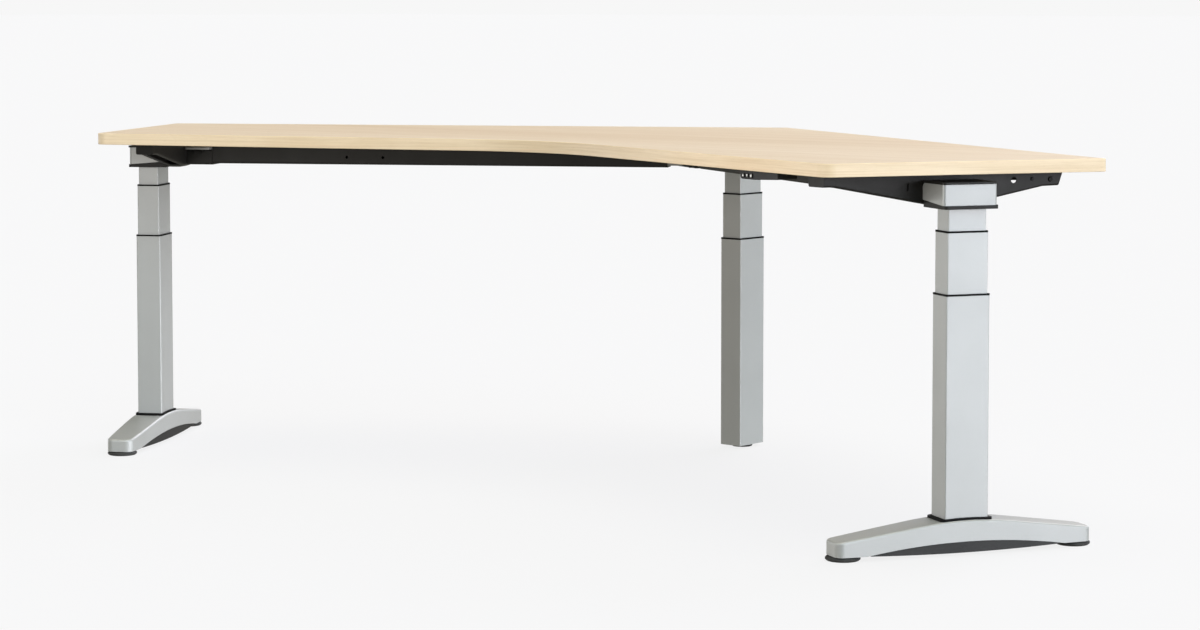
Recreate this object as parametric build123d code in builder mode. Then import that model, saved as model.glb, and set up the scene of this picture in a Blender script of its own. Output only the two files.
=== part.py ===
"""Height adjustable corner desk: a 120 degree worktop on three telescopic lifting columns.

Millimetres, +Z up, floor at Z = 0, origin under the middle of the bounding box. The back corner points
to +Y and the two wings run to +X and -X and forward to -Y. Frame, legs and worktop are mirror images
about the YZ plane; the hand control and the control box are not.
Along a wing, s runs from the back corner along the back edge, and q from the back edge to the front.
"""

from build123d import *
from math import sin, cos, tan, radians, sqrt
import os

os.makedirs("parts", exist_ok=True)

# ---------------------------------------------------------------- driving dimensions
WING = 1500.0          # length of each back edge
END_DEPTH = 580.0      # depth of the worktop at each end
TAPER = 8.76           # degrees, each front edge against its back edge
R_FRONT = 500.0        # inside radius of the front edge
R_CORNER = 28.0        # radius of the two front corners
BOARD_T = 25.0         # worktop thickness
BAND_T = 2.0           # edge band thickness
TOP_Z = 736.0          # working height at rest
UNDER_Z = TOP_Z - BOARD_T

LEG_IN = 36.0          # outer leg centre, in from the end of the worktop
LEG_Q = 283.0          # outer leg centre, from the back edge
CORNER_T = 171.5       # corner leg centre, from the back corner along the bisector

OUTER = (57.6, 89.6, 2.4)      # tube section: along the wing, across it, corner radius
OUTER_IN = (53.6, 85.6, 1.2)
MIDDLE = (52.0, 84.0, 2.2)
MIDDLE_IN = (48.0, 80.0, 1.0)
INNER = (46.6, 78.4, 2.0)
INNER_IN = (43.0, 74.8, 0.8)
OUTER_TOP = 484.5      # top of the outer tubes, under their collars
COLLAR_H = 3.6
MIDDLE_TOP = 602.0     # top of the middle tubes of the outer legs
MIDDLE_TOP_C = 588.0   # and of the corner leg
MIDDLE_LEN = 500.0
INNER_BOTTOM = 157.0
TUBE_SEAT = 40.0       # outer legs stand on their base plates here
CORNER_FOOT = 6.0      # lower end of the corner column

HEAD_Z0 = 647.0        # head base plate from 647, cover to 693, top plate to 697
HEAD_Z1 = 654.0
HEAD_Z2 = 693.0
HEAD_Z3 = 697.0
HEAD_OUT = 39.5        # outer face of the head covers, outward from the leg centre
HEAD_W = 112.0         # width of the head covers
HEAD_FWD = 2.0         # their middle, to the front of the leg centre

ARM_OUT = 47.0         # arm's outer web, inward from the leg centre
ARM_W = 44.0           # width of the arm
BEAM_Z0 = 656.0
BEAM_Z1 = 700.0
BEAM_W = 58.0
BEAM_END = 221.0       # right beam's inner end, along the wing
BEAM_END_L = 237.5     # left beam's inner end, further out on its spigot
JOINT_L = 62.0         # length of the bracket between arm and beam

FOOT_HALF = 265.0
GLIDE_AT = 240.0
GLIDE_R = 33.0

# ---------------------------------------------------------------- derived plan geometry
C60, S60 = 0.5, sqrt(3) / 2
SLOPE = 30.0 - TAPER                     # front edge against the X axis, degrees
CT, ST = cos(radians(SLOPE)), sin(radians(SLOPE))
END_P = S60 * WING - C60 * END_DEPTH     # front corner of the end, before rounding
END_T = C60 * WING + S60 * END_DEPTH
VERTEX_T = END_T - END_P * tan(radians(SLOPE))
half_angle = radians((90.0 + TAPER) / 2)
# middle of the rounded front corner, to find the foremost point of the worktop
mid_t = END_T - R_CORNER / sin(half_angle) * (S60 + ST) / sqrt((C60 - CT) ** 2 + (S60 + ST) ** 2)
DEPTH = mid_t + R_CORNER
Y0 = DEPTH / 2                           # back corner's Y


def plan(s, q):
    """Point of the right wing in X, Y."""
    return (S60 * s - C60 * q, Y0 - (C60 * s + S60 * q))


LEG_S = WING - LEG_IN
LEG_X, LEG_Y = plan(LEG_S, LEG_Q)
ALONG = (S60, -C60, 0)        # along the right wing, outward
FRONT = (-C60, -S60, 0)       # across the right wing, to the front
INWARD = (-S60, C60, 0)

RIGHT_WING = Plane(origin=(0, Y0, 0), x_dir=ALONG, z_dir=(0, 0, 1))          # local x = s, y = -q
LEFT_WING = Plane(origin=(0, Y0, 0), x_dir=(-S60, -C60, 0), z_dir=(0, 0, 1))     # local x = s, y = q
RIGHT_LEG = Plane(origin=(LEG_X, LEG_Y, 0), x_dir=ALONG, z_dir=(0, 0, 1))    # local x out, y back
CORNER_LEG = Plane(origin=(0, Y0 - CORNER_T, 0), x_dir=(1, 0, 0), z_dir=(0, 0, 1))
LEG_SIDE = Plane(origin=(LEG_X, LEG_Y, 0), x_dir=FRONT, z_dir=INWARD)        # local x = w to the front, y = z
OUTLINE = [
    (0, Y0),
    (S60 * WING, Y0 - C60 * WING),
    (END_P, Y0 - END_T),
    (0, Y0 - VERTEX_T),
    (-END_P, Y0 - END_T),
    (-S60 * WING, Y0 - C60 * WING),
]

# ---------------------------------------------------------------- worktop
ARM_MID = LEG_S - ARM_OUT - ARM_W / 2            # arm's middle, along the wing
ARM_SCREWS = [(ARM_MID + ds, q) for q in (170, 390) for ds in (-13, 13)]
HUB_SCREWS = [(-24, 268), (24, 268)]             # p, t
BOX_S, BOX_Q, BOX_L, BOX_W, BOX_H = 820.0, 170.0, 236.0, 92.0, 38.0
BOX_SCREWS = [(BOX_S + ds, BOX_Q + dq) for ds in (-127, 127) for dq in (-28, 28)]
HAND_G0, HAND_L, HAND_D, HAND_H, HAND_BACK = 765.0, 135.0, 44.0, 18.0, 15.0
# frame of the right front edge: local x along the edge from the middle, y to the back
EDGE_FRAME = Plane(origin=(0, Y0 - VERTEX_T, 0), x_dir=(CT, -ST, 0), z_dir=(0, 0, 1))
HAND_SCREWS = [(HAND_G0 + 25, HAND_BACK + HAND_D + 6), (HAND_G0 + HAND_L - 25, HAND_BACK + HAND_D + 6)]


def screw_points():
    """X, Y of every screw that enters the worktop from below."""
    points = []
    for s, q in ARM_SCREWS:
        x, y = plan(s, q)
        points += [(x, y), (-x, y)]
    points += [(p, Y0 - t) for p, t in HUB_SCREWS]
    for s, q in BOX_SCREWS:                      # the control box hangs under the left wing
        x, y = plan(s, q)
        points.append((-x, y))
    for g, b in HAND_SCREWS:
        v = EDGE_FRAME.from_local_coords(Vector(g, b, 0))
        points.append((v.X, v.Y))
    return points


SCREWS = screw_points()

with BuildPart() as worktop_board:
    with BuildSketch(Plane.XY.offset(UNDER_Z)) as board_sk:
        with BuildLine():
            Polyline(*OUTLINE, close=True)
        make_face()
        front_vertex = board_sk.vertices().sort_by_distance((0, Y0 - VERTEX_T, 0))[0]
        fillet(front_vertex, R_FRONT)
        ends = board_sk.vertices().sort_by(Axis.Y)[0:2]
        fillet(ends, R_CORNER)
        offset(amount=-BAND_T, kind=Kind.INTERSECTION)
    extrude(amount=BOARD_T)
    with BuildSketch(Plane.XY.offset(UNDER_Z)):
        with Locations(*SCREWS):
            Circle(2.1)
    extrude(amount=18, mode=Mode.SUBTRACT)

with BuildPart() as worktop_edge_band:
    with BuildSketch(Plane.XY.offset(UNDER_Z)) as band_sk:
        with BuildLine():
            Polyline(*OUTLINE, close=True)
        make_face()
        fillet(band_sk.vertices().sort_by_distance((0, Y0 - VERTEX_T, 0))[0], R_FRONT)
        fillet(band_sk.vertices().sort_by(Axis.Y)[0:2], R_CORNER)
        offset(amount=-BAND_T, kind=Kind.INTERSECTION, mode=Mode.SUBTRACT)
    extrude(amount=BOARD_T)
    fillet(worktop_edge_band.faces().sort_by(Axis.Z)[-1].outer_wire().edges(), 1.2)
    fillet(worktop_edge_band.faces().sort_by(Axis.Z)[0].outer_wire().edges(), 1.2)

# ---------------------------------------------------------------- outer tubes
with BuildPart() as right_outer_tube:
    with BuildSketch(RIGHT_LEG.offset(TUBE_SEAT)):
        RectangleRounded(*OUTER)
        RectangleRounded(*OUTER_IN, mode=Mode.SUBTRACT)
    extrude(amount=OUTER_TOP - TUBE_SEAT)

with BuildPart() as left_outer_tube:
    mirror(right_outer_tube.part, about=Plane.YZ)

with BuildPart() as corner_outer_tube:
    with BuildSketch(CORNER_LEG.offset(CORNER_FOOT)):
        RectangleRounded(*OUTER)
        RectangleRounded(*OUTER_IN, mode=Mode.SUBTRACT)
    extrude(amount=OUTER_TOP - CORNER_FOOT)

with BuildPart() as outer_tube_collars:
    with BuildSketch(RIGHT_LEG.offset(OUTER_TOP)):
        RectangleRounded(OUTER[0] + 1.2, OUTER[1] + 1.2, OUTER[2] + 0.6)
        RectangleRounded(MIDDLE[0] + 0.6, MIDDLE[1] + 0.6, MIDDLE[2] + 0.3, mode=Mode.SUBTRACT)
    extrude(amount=COLLAR_H)
    mirror(about=Plane.YZ)
    with BuildSketch(CORNER_LEG.offset(OUTER_TOP)):
        RectangleRounded(OUTER[0] + 1.2, OUTER[1] + 1.2, OUTER[2] + 0.6)
        RectangleRounded(MIDDLE[0] + 0.6, MIDDLE[1] + 0.6, MIDDLE[2] + 0.3, mode=Mode.SUBTRACT)
    extrude(amount=COLLAR_H)

# ---------------------------------------------------------------- feet
# crown of the foot: two straight flanks and one tangent arc between them
FLANK_W, FLANK_Z0, FLANK_TAN = 90.0, 36.5, 0.1324
FLANK_Z1 = FLANK_Z0 + (FOOT_HALF - FLANK_W) * FLANK_TAN
CROWN_Z = FLANK_Z1 + FLANK_W * (sqrt(1 + FLANK_TAN ** 2) - 1) / FLANK_TAN
FOOT_WALL = 4.0
TOE_HALF, MID_HALF = 29.5, 37.0
BOLT_AT = [(ds, dw) for ds in (-20, 20) for dw in (-68, 68)]

with BuildPart() as foot_cavity:
    with BuildSketch(LEG_SIDE):
        with BuildLine():
            Line((-FOOT_HALF, FLANK_Z0 - FOOT_WALL), (-FLANK_W, FLANK_Z1 - FOOT_WALL))
            ThreePointArc((-FLANK_W, FLANK_Z1 - FOOT_WALL), (0, CROWN_Z - FOOT_WALL), (FLANK_W, FLANK_Z1 - FOOT_WALL))
            Polyline((FLANK_W, FLANK_Z1 - FOOT_WALL), (FOOT_HALF, FLANK_Z0 - FOOT_WALL), (FOOT_HALF, -2),
                     (-FOOT_HALF, -2), (-FOOT_HALF, FLANK_Z0 - FOOT_WALL))
        make_face()
    extrude(amount=45, both=True)
    with BuildSketch(RIGHT_LEG.offset(-5)) as cavity_sk:
        with BuildLine():
            ThreePointArc((TOE_HALF - FOOT_WALL, -FOOT_HALF + FOOT_WALL), (MID_HALF - FOOT_WALL, 0),
                          (TOE_HALF - FOOT_WALL, FOOT_HALF - FOOT_WALL))
            Line((TOE_HALF - FOOT_WALL, FOOT_HALF - FOOT_WALL), (-TOE_HALF + FOOT_WALL, FOOT_HALF - FOOT_WALL))
            ThreePointArc((-TOE_HALF + FOOT_WALL, FOOT_HALF - FOOT_WALL), (-MID_HALF + FOOT_WALL, 0),
                          (-TOE_HALF + FOOT_WALL, -FOOT_HALF + FOOT_WALL))
            Line((-TOE_HALF + FOOT_WALL, -FOOT_HALF + FOOT_WALL), (TOE_HALF - FOOT_WALL, -FOOT_HALF + FOOT_WALL))
        make_face()
        fillet(cavity_sk.vertices(), 12)
    extrude(amount=90, mode=Mode.INTERSECT)

with BuildPart() as right_foot:
    with BuildSketch(LEG_SIDE):
        with BuildLine():
            Line((-FOOT_HALF, FLANK_Z0), (-FLANK_W, FLANK_Z1))
            ThreePointArc((-FLANK_W, FLANK_Z1), (0, CROWN_Z), (FLANK_W, FLANK_Z1))
            Polyline((FLANK_W, FLANK_Z1), (FOOT_HALF, FLANK_Z0), (FOOT_HALF, 9), (205, 9))
            ThreePointArc((205, 9), (0, 26), (-205, 9))
            Polyline((-205, 9), (-FOOT_HALF, 9), (-FOOT_HALF, FLANK_Z0))
        make_face()
    extrude(amount=45, both=True)
    with BuildSketch(RIGHT_LEG) as foot_sk:
        with BuildLine():
            ThreePointArc((TOE_HALF, -FOOT_HALF), (MID_HALF, 0), (TOE_HALF, FOOT_HALF))
            Line((TOE_HALF, FOOT_HALF), (-TOE_HALF, FOOT_HALF))
            ThreePointArc((-TOE_HALF, FOOT_HALF), (-MID_HALF, 0), (-TOE_HALF, -FOOT_HALF))
            Line((-TOE_HALF, -FOOT_HALF), (TOE_HALF, -FOOT_HALF))
        make_face()
        fillet(foot_sk.vertices(), 16)
    extrude(amount=90, mode=Mode.INTERSECT)
    crown = right_foot.faces().filter_by(lambda f: f.normal_at().Z > 0.8)
    rim = [e for e in crown.edges() if sum(1 for f in crown if e in f.edges()) == 1]
    fillet(rim, 4.5)
    add(foot_cavity.part, mode=Mode.SUBTRACT)
    # bosses for the glides and for the base plate, down from the crown
    with BuildSketch(RIGHT_LEG.offset(9)):
        with Locations((0, GLIDE_AT), (0, -GLIDE_AT)):
            Circle(11)
    extrude(amount=28)
    with BuildSketch(RIGHT_LEG.offset(TUBE_SEAT)):
        with Locations(*BOLT_AT):
            Circle(8)
    extrude(amount=20)
    # socket for the column, glide threads and base plate threads
    with BuildSketch(RIGHT_LEG):
        RectangleRounded(OUTER[0] + 0.6, OUTER[1] + 0.6, OUTER[2] + 0.3)
    extrude(amount=90, mode=Mode.SUBTRACT)
    with BuildSketch(RIGHT_LEG.offset(9)):
        with Locations((0, GLIDE_AT), (0, -GLIDE_AT)):
            Circle(5.05)
    extrude(amount=20.5, mode=Mode.SUBTRACT)
    with BuildSketch(RIGHT_LEG.offset(TUBE_SEAT)):
        with Locations(*BOLT_AT):
            Circle(2.6)
    extrude(amount=16, mode=Mode.SUBTRACT)

with BuildPart() as left_foot:
    mirror(right_foot.part, about=Plane.YZ)

GASKET_0, GASKET_1 = 0.02, 4.2           # lower and upper face of the gasket, over the crown

with BuildPart() as foot_gaskets:
    with BuildSketch(LEG_SIDE):
        with BuildLine():
            Line((-FOOT_HALF, FLANK_Z0 + GASKET_1), (-FLANK_W, FLANK_Z1 + GASKET_1))
            ThreePointArc((-FLANK_W, FLANK_Z1 + GASKET_1), (0, CROWN_Z + GASKET_1), (FLANK_W, FLANK_Z1 + GASKET_1))
            Polyline((FLANK_W, FLANK_Z1 + GASKET_1), (FOOT_HALF, FLANK_Z0 + GASKET_1),
                     (FOOT_HALF, FLANK_Z0 + GASKET_0), (FLANK_W, FLANK_Z1 + GASKET_0))
            ThreePointArc((FLANK_W, FLANK_Z1 + GASKET_0), (0, CROWN_Z + GASKET_0), (-FLANK_W, FLANK_Z1 + GASKET_0))
            Polyline((-FLANK_W, FLANK_Z1 + GASKET_0), (-FOOT_HALF, FLANK_Z0 + GASKET_0),
                     (-FOOT_HALF, FLANK_Z0 + GASKET_1))
        make_face()
    extrude(amount=45, both=True)
    with BuildSketch(RIGHT_LEG):
        RectangleRounded(OUTER[0] + 10, OUTER[1] + 18, 9)
        RectangleRounded(OUTER[0] + 0.6, OUTER[1] + 0.6, OUTER[2] + 0.3, mode=Mode.SUBTRACT)
    extrude(amount=90, mode=Mode.INTERSECT)
    mirror(about=Plane.YZ)

# dark moulded covers that close the arch of each foot
with BuildPart() as cover_cavity:
    with BuildSketch(LEG_SIDE):
        with BuildLine():
            ThreePointArc((-203, 11.3), (0, 7.5), (203, 11.3))
            Polyline((203, 11.3), (203, 60), (-203, 60), (-203, 11.3))
        make_face()
    extrude(amount=45, both=True)
    with BuildSketch(RIGHT_LEG):
        with BuildLine():
            ThreePointArc((28.2, -176), (33.0, 0), (28.2, 176))
            Line((28.2, 176), (-28.2, 176))
            ThreePointArc((-28.2, 176), (-33.0, 0), (-28.2, -176))
            Line((-28.2, -176), (28.2, -176))
        make_face()
    extrude(amount=90, mode=Mode.INTERSECT)

with BuildPart() as right_foot_cover:
    with BuildSketch(LEG_SIDE):
        with BuildLine():
            ThreePointArc((-203, 8.8), (0, 25.8), (203, 8.8))
            ThreePointArc((203, 8.8), (0, 5.0), (-203, 8.8))
        make_face()
    extrude(amount=45, both=True)
    with BuildSketch(RIGHT_LEG):
        with BuildLine():
            ThreePointArc((31.0, -196), (36.0, 0), (31.0, 196))
            Line((31.0, 196), (-31.0, 196))
            ThreePointArc((-31.0, 196), (-36.0, 0), (-31.0, -196))
            Line((-31.0, -196), (31.0, -196))
        make_face()
    extrude(amount=90, mode=Mode.INTERSECT)
    add(cover_cavity.part, mode=Mode.SUBTRACT)
    with BuildSketch(RIGHT_LEG.offset(6)):
        with Locations((0, 40), (0, -40)):
            Circle(6)
    extrude(amount=28)

with BuildPart() as left_foot_cover:
    mirror(right_foot_cover.part, about=Plane.YZ)

with BuildPart() as base_plates:
    with BuildSketch(RIGHT_LEG.offset(TUBE_SEAT - 6)):
        RectangleRounded(62, 168, 6)
        with Locations(*BOLT_AT):
            Circle(3.0, mode=Mode.SUBTRACT)
    extrude(amount=6)
    mirror(about=Plane.YZ)

with BuildPart() as base_bolts:
    with BuildSketch(RIGHT_LEG.offset(TUBE_SEAT - 6)):
        with Locations(*BOLT_AT):
            Circle(2.5)
    extrude(amount=20)
    with BuildSketch(RIGHT_LEG.offset(TUBE_SEAT - 10)):
        with Locations(*BOLT_AT):
            RegularPolygon(5.5, 6)
    extrude(amount=4)
    mirror(about=Plane.YZ)

with BuildPart() as corner_base_plug:
    with BuildSketch(CORNER_LEG.offset(CORNER_FOOT)):
        RectangleRounded(OUTER_IN[0] - 0.3, OUTER_IN[1] - 0.3, OUTER_IN[2])
    extrude(amount=14)
    with BuildSketch(CORNER_LEG.offset(CORNER_FOOT)):
        Circle(5.05)
    extrude(amount=14, mode=Mode.SUBTRACT)

with BuildPart() as nut_tubes:
    with BuildSketch(RIGHT_LEG.offset(TUBE_SEAT)):
        Circle(13.5)
        Circle(10.3, mode=Mode.SUBTRACT)
    extrude(amount=470 - TUBE_SEAT)
    mirror(about=Plane.YZ)
    with BuildSketch(CORNER_LEG.offset(CORNER_FOOT + 14)):
        Circle(13.5)
        Circle(10.3, mode=Mode.SUBTRACT)
    extrude(amount=470 - CORNER_FOOT - 14)

# ---------------------------------------------------------------- levelling glides
with BuildPart() as right_front_glide:
    with BuildSketch(LEG_SIDE.offset(0)):
        with BuildLine():
            Polyline((GLIDE_AT, 0), (GLIDE_AT + GLIDE_R - 3, 0), (GLIDE_AT + GLIDE_R, 2.5))
            Polyline((GLIDE_AT + GLIDE_R, 2.5), (GLIDE_AT + GLIDE_R, 5.2), (GLIDE_AT + GLIDE_R - 2, 7.4),
                     (GLIDE_AT + 9, 8.2), (GLIDE_AT + 9, 8.6), (GLIDE_AT + 5, 8.6), (GLIDE_AT + 5, 28),
                     (GLIDE_AT, 28), (GLIDE_AT, 0))
        make_face()
    revolve(axis=Axis(origin=plan(LEG_S, LEG_Q + GLIDE_AT) + (0,), direction=(0, 0, 1)))

with BuildPart() as right_rear_glide:
    with BuildSketch(LEG_SIDE.offset(0)):
        with BuildLine():
            Polyline((-GLIDE_AT, 0), (-GLIDE_AT + GLIDE_R - 3, 0), (-GLIDE_AT + GLIDE_R, 2.5))
            Polyline((-GLIDE_AT + GLIDE_R, 2.5), (-GLIDE_AT + GLIDE_R, 5.2), (-GLIDE_AT + GLIDE_R - 2, 7.4),
                     (-GLIDE_AT + 9, 8.2), (-GLIDE_AT + 9, 8.6), (-GLIDE_AT + 5, 8.6), (-GLIDE_AT + 5, 28),
                     (-GLIDE_AT, 28), (-GLIDE_AT, 0))
        make_face()
    revolve(axis=Axis(origin=plan(LEG_S, LEG_Q - GLIDE_AT) + (0,), direction=(0, 0, 1)))

with BuildPart() as left_front_glide:
    mirror(right_front_glide.part, about=Plane.YZ)

with BuildPart() as left_rear_glide:
    mirror(right_rear_glide.part, about=Plane.YZ)

CORNER_SIDE = Plane(origin=(0, Y0 - CORNER_T, 0), x_dir=(0, -1, 0), z_dir=(-1, 0, 0))
with BuildPart() as corner_glide:
    with BuildSketch(CORNER_SIDE):
        with BuildLine():
            Polyline((0, 0), (22, 0), (24, 1.6), (24, 3.6), (22.4, 5.0), (9, 5.4), (9, 5.7), (5, 5.7), (5, 26),
                     (0, 26), (0, 0))
        make_face()
    revolve(axis=Axis(origin=(0, Y0 - CORNER_T, 0), direction=(0, 0, 1)))

# ---------------------------------------------------------------- middle stages
with BuildPart() as right_middle_tube:
    with BuildSketch(RIGHT_LEG.offset(MIDDLE_TOP - MIDDLE_LEN)):
        RectangleRounded(*MIDDLE)
        RectangleRounded(*MIDDLE_IN, mode=Mode.SUBTRACT)
    extrude(amount=MIDDLE_LEN)

with BuildPart() as left_middle_tube:
    mirror(right_middle_tube.part, about=Plane.YZ)

with BuildPart() as corner_middle_tube:
    with BuildSketch(CORNER_LEG.offset(MIDDLE_TOP_C - MIDDLE_LEN)):
        RectangleRounded(*MIDDLE)
        RectangleRounded(*MIDDLE_IN, mode=Mode.SUBTRACT)
    extrude(amount=MIDDLE_LEN)

with BuildPart() as right_middle_collar:
    with BuildSketch(RIGHT_LEG.offset(MIDDLE_TOP)):
        RectangleRounded(MIDDLE[0] + 1.0, MIDDLE[1] + 1.0, MIDDLE[2] + 0.5)
        RectangleRounded(INNER[0] + 0.6, INNER[1] + 0.6, INNER[2] + 0.3, mode=Mode.SUBTRACT)
    extrude(amount=COLLAR_H)

with BuildPart() as left_middle_collar:
    mirror(right_middle_collar.part, about=Plane.YZ)

with BuildPart() as corner_middle_collar:
    with BuildSketch(CORNER_LEG.offset(MIDDLE_TOP_C)):
        RectangleRounded(MIDDLE[0] + 1.0, MIDDLE[1] + 1.0, MIDDLE[2] + 0.5)
        RectangleRounded(INNER[0] + 0.6, INNER[1] + 0.6, INNER[2] + 0.3, mode=Mode.SUBTRACT)
    extrude(amount=COLLAR_H)

with BuildPart() as right_hollow_spindle:
    with BuildSketch(RIGHT_LEG.offset(MIDDLE_TOP - 482)):
        Circle(10)
        Circle(7, mode=Mode.SUBTRACT)
    extrude(amount=440)
    with BuildSketch(RIGHT_LEG.offset(MIDDLE_TOP - 42)):
        Circle(10)
        Circle(6.08, mode=Mode.SUBTRACT)
    extrude(amount=30)

with BuildPart() as left_hollow_spindle:
    mirror(right_hollow_spindle.part, about=Plane.YZ)

with BuildPart() as corner_hollow_spindle:
    with BuildSketch(CORNER_LEG.offset(MIDDLE_TOP_C - 482)):
        Circle(10)
        Circle(7, mode=Mode.SUBTRACT)
    extrude(amount=440)
    with BuildSketch(CORNER_LEG.offset(MIDDLE_TOP_C - 42)):
        Circle(10)
        Circle(6.08, mode=Mode.SUBTRACT)
    extrude(amount=30)

# ---------------------------------------------------------------- inner tubes, spindles and heads
with BuildPart() as right_inner_tube:
    with BuildSketch(RIGHT_LEG.offset(INNER_BOTTOM)):
        RectangleRounded(*INNER)
        RectangleRounded(*INNER_IN, mode=Mode.SUBTRACT)
    extrude(amount=HEAD_Z0 - INNER_BOTTOM)

with BuildPart() as left_inner_tube:
    mirror(right_inner_tube.part, about=Plane.YZ)

with BuildPart() as corner_inner_tube:
    with BuildSketch(CORNER_LEG.offset(INNER_BOTTOM)):
        RectangleRounded(*INNER)
        RectangleRounded(*INNER_IN, mode=Mode.SUBTRACT)
    extrude(amount=HEAD_Z0 - INNER_BOTTOM)

with BuildPart() as right_spindle:
    with BuildSketch(RIGHT_LEG.offset(160)):
        Circle(6)
    extrude(amount=678 - 160)

with BuildPart() as left_spindle:
    mirror(right_spindle.part, about=Plane.YZ)

with BuildPart() as corner_spindle:
    with BuildSketch(CORNER_LEG.offset(160)):
        Circle(6)
    extrude(amount=678 - 160)

HEAD_BOLTS = [(dw, z) for dw in (-30, 30) for z in (662, 681)]
FLANGE_FACE = Plane(origin=plan(LEG_S - ARM_OUT, LEG_Q) + (0,), x_dir=(C60, S60, 0), z_dir=ALONG)   # local x to the back, y = z

HEAD_SIDE = Plane(origin=(LEG_X, LEG_Y, 0), x_dir=ALONG, z_dir=FRONT)       # local x out, y = z
RIM_OUT, RIM_IN = 653.4, 661.0           # upper edge of the base plate's rim, at its outer end and at the arm
PLATE_OUT = HEAD_OUT + 3.5

with BuildPart() as head_base_plates:
    # plate with a rim that rises towards the arm
    with BuildSketch(RIGHT_LEG.offset(HEAD_Z0)) as plate_sk:
        with Locations(((PLATE_OUT - ARM_OUT) / 2, 0)):
            Rectangle(PLATE_OUT + ARM_OUT, HEAD_W)
        fillet(plate_sk.vertices().sort_by(Axis.X)[-2:], 7)
    extrude(amount=20)
    with BuildSketch(HEAD_SIDE):
        with BuildLine():
            Polyline((-ARM_OUT, HEAD_Z0), (PLATE_OUT, HEAD_Z0), (PLATE_OUT, RIM_OUT), (-ARM_OUT, RIM_IN), close=True)
        make_face()
    extrude(amount=70, both=True, mode=Mode.INTERSECT)
    with BuildSketch(RIGHT_LEG.offset(RIM_OUT - 0.4)):
        with Locations(((HEAD_OUT - 3 - ARM_OUT) / 2, -HEAD_FWD)):
            Rectangle(HEAD_OUT - 3 + ARM_OUT, HEAD_W - 6)
    extrude(amount=20, mode=Mode.SUBTRACT)
    with BuildSketch(RIGHT_LEG.offset(HEAD_Z0)):
        with Locations((-ARM_OUT + 2, 0)):
            Rectangle(4, 84)
    extrude(amount=HEAD_Z1 + 36 - HEAD_Z0)
    with BuildSketch(RIGHT_LEG.offset(HEAD_Z0)):
        Circle(8)
    extrude(amount=20, mode=Mode.SUBTRACT)
    with BuildSketch(FLANGE_FACE):
        with Locations(*HEAD_BOLTS):
            Circle(3.15)
    extrude(amount=4, mode=Mode.SUBTRACT)
    mirror(about=Plane.YZ)
    with BuildSketch(CORNER_LEG.offset(HEAD_Z0)):
        with Locations((0, -9)):
            Rectangle(76, 122)
        Circle(8, mode=Mode.SUBTRACT)
    extrude(amount=HEAD_Z1 - HEAD_Z0)
    with BuildSketch(CORNER_LEG.offset(HEAD_Z1)):
        with Locations((0, -68)):
            Rectangle(62, 4)
    extrude(amount=36)
    with BuildSketch(Plane(origin=(0, Y0 - CORNER_T - 70, 0), x_dir=(-1, 0, 0), z_dir=(0, 1, 0))):
        with Locations((-22, 672), (22, 672)):
            Circle(3.15)
    extrude(amount=4, mode=Mode.SUBTRACT)

with BuildPart() as head_top_plates:
    with BuildSketch(RIGHT_LEG.offset(HEAD_Z2)) as top_plate_sk:
        with Locations(((PLATE_OUT - 0.5 - ARM_OUT) / 2, -HEAD_FWD)):
            Rectangle(PLATE_OUT - 0.5 + ARM_OUT, HEAD_W + 3)
        fillet(top_plate_sk.vertices().sort_by(Axis.X)[-2:], 7)
    extrude(amount=HEAD_Z3 - HEAD_Z2)
    mirror(about=Plane.YZ)
    with BuildSketch(CORNER_LEG.offset(HEAD_Z2)):
        with Locations((0, -9)):
            Rectangle(76, 122)
    extrude(amount=HEAD_Z3 - HEAD_Z2)

with BuildPart() as right_head_cover:
    with BuildSketch(RIGHT_LEG.offset(HEAD_Z0)) as cover_sk:
        with Locations(((HEAD_OUT - ARM_OUT + 0.5) / 2, -HEAD_FWD)):
            Rectangle(HEAD_OUT + ARM_OUT - 0.5, HEAD_W)
        fillet(cover_sk.vertices().sort_by(Axis.X)[-2:], 6)
    extrude(amount=HEAD_Z2 - HEAD_Z0)
    with BuildSketch(RIGHT_LEG.offset(HEAD_Z0)) as cover_in_sk:
        with Locations(((HEAD_OUT - 2.5 - ARM_OUT - 5) / 2, -HEAD_FWD)):
            Rectangle(HEAD_OUT - 2.5 + ARM_OUT + 5, HEAD_W - 5)
        fillet(cover_in_sk.vertices().sort_by(Axis.X)[-2:], 3.5)
    extrude(amount=HEAD_Z2 - HEAD_Z0, mode=Mode.SUBTRACT)
    # the lower edge follows the rim of the base plate, and the upper corners at the arm are rounded
    with BuildSketch(HEAD_SIDE):
        with BuildLine():
            Polyline((-ARM_OUT - 10, HEAD_Z0 - 5), (PLATE_OUT, HEAD_Z0 - 5), (PLATE_OUT, RIM_OUT + 0.05),
                     (-ARM_OUT - 10, RIM_IN + 0.05 + 10 * (RIM_IN - RIM_OUT) / (PLATE_OUT + ARM_OUT)), close=True)
        make_face()
    extrude(amount=70, both=True, mode=Mode.SUBTRACT)
    with BuildSketch(HEAD_SIDE):
        with Locations((-ARM_OUT + 5, HEAD_Z2 - 5)):
            Rectangle(12, 12)
        with Locations((-ARM_OUT + 0.5 + 10, HEAD_Z2 - 10)):
            Circle(10, mode=Mode.SUBTRACT)
    extrude(amount=70, both=True, mode=Mode.SUBTRACT)

with BuildPart() as left_head_cover:
    mirror(right_head_cover.part, about=Plane.YZ)

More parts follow.
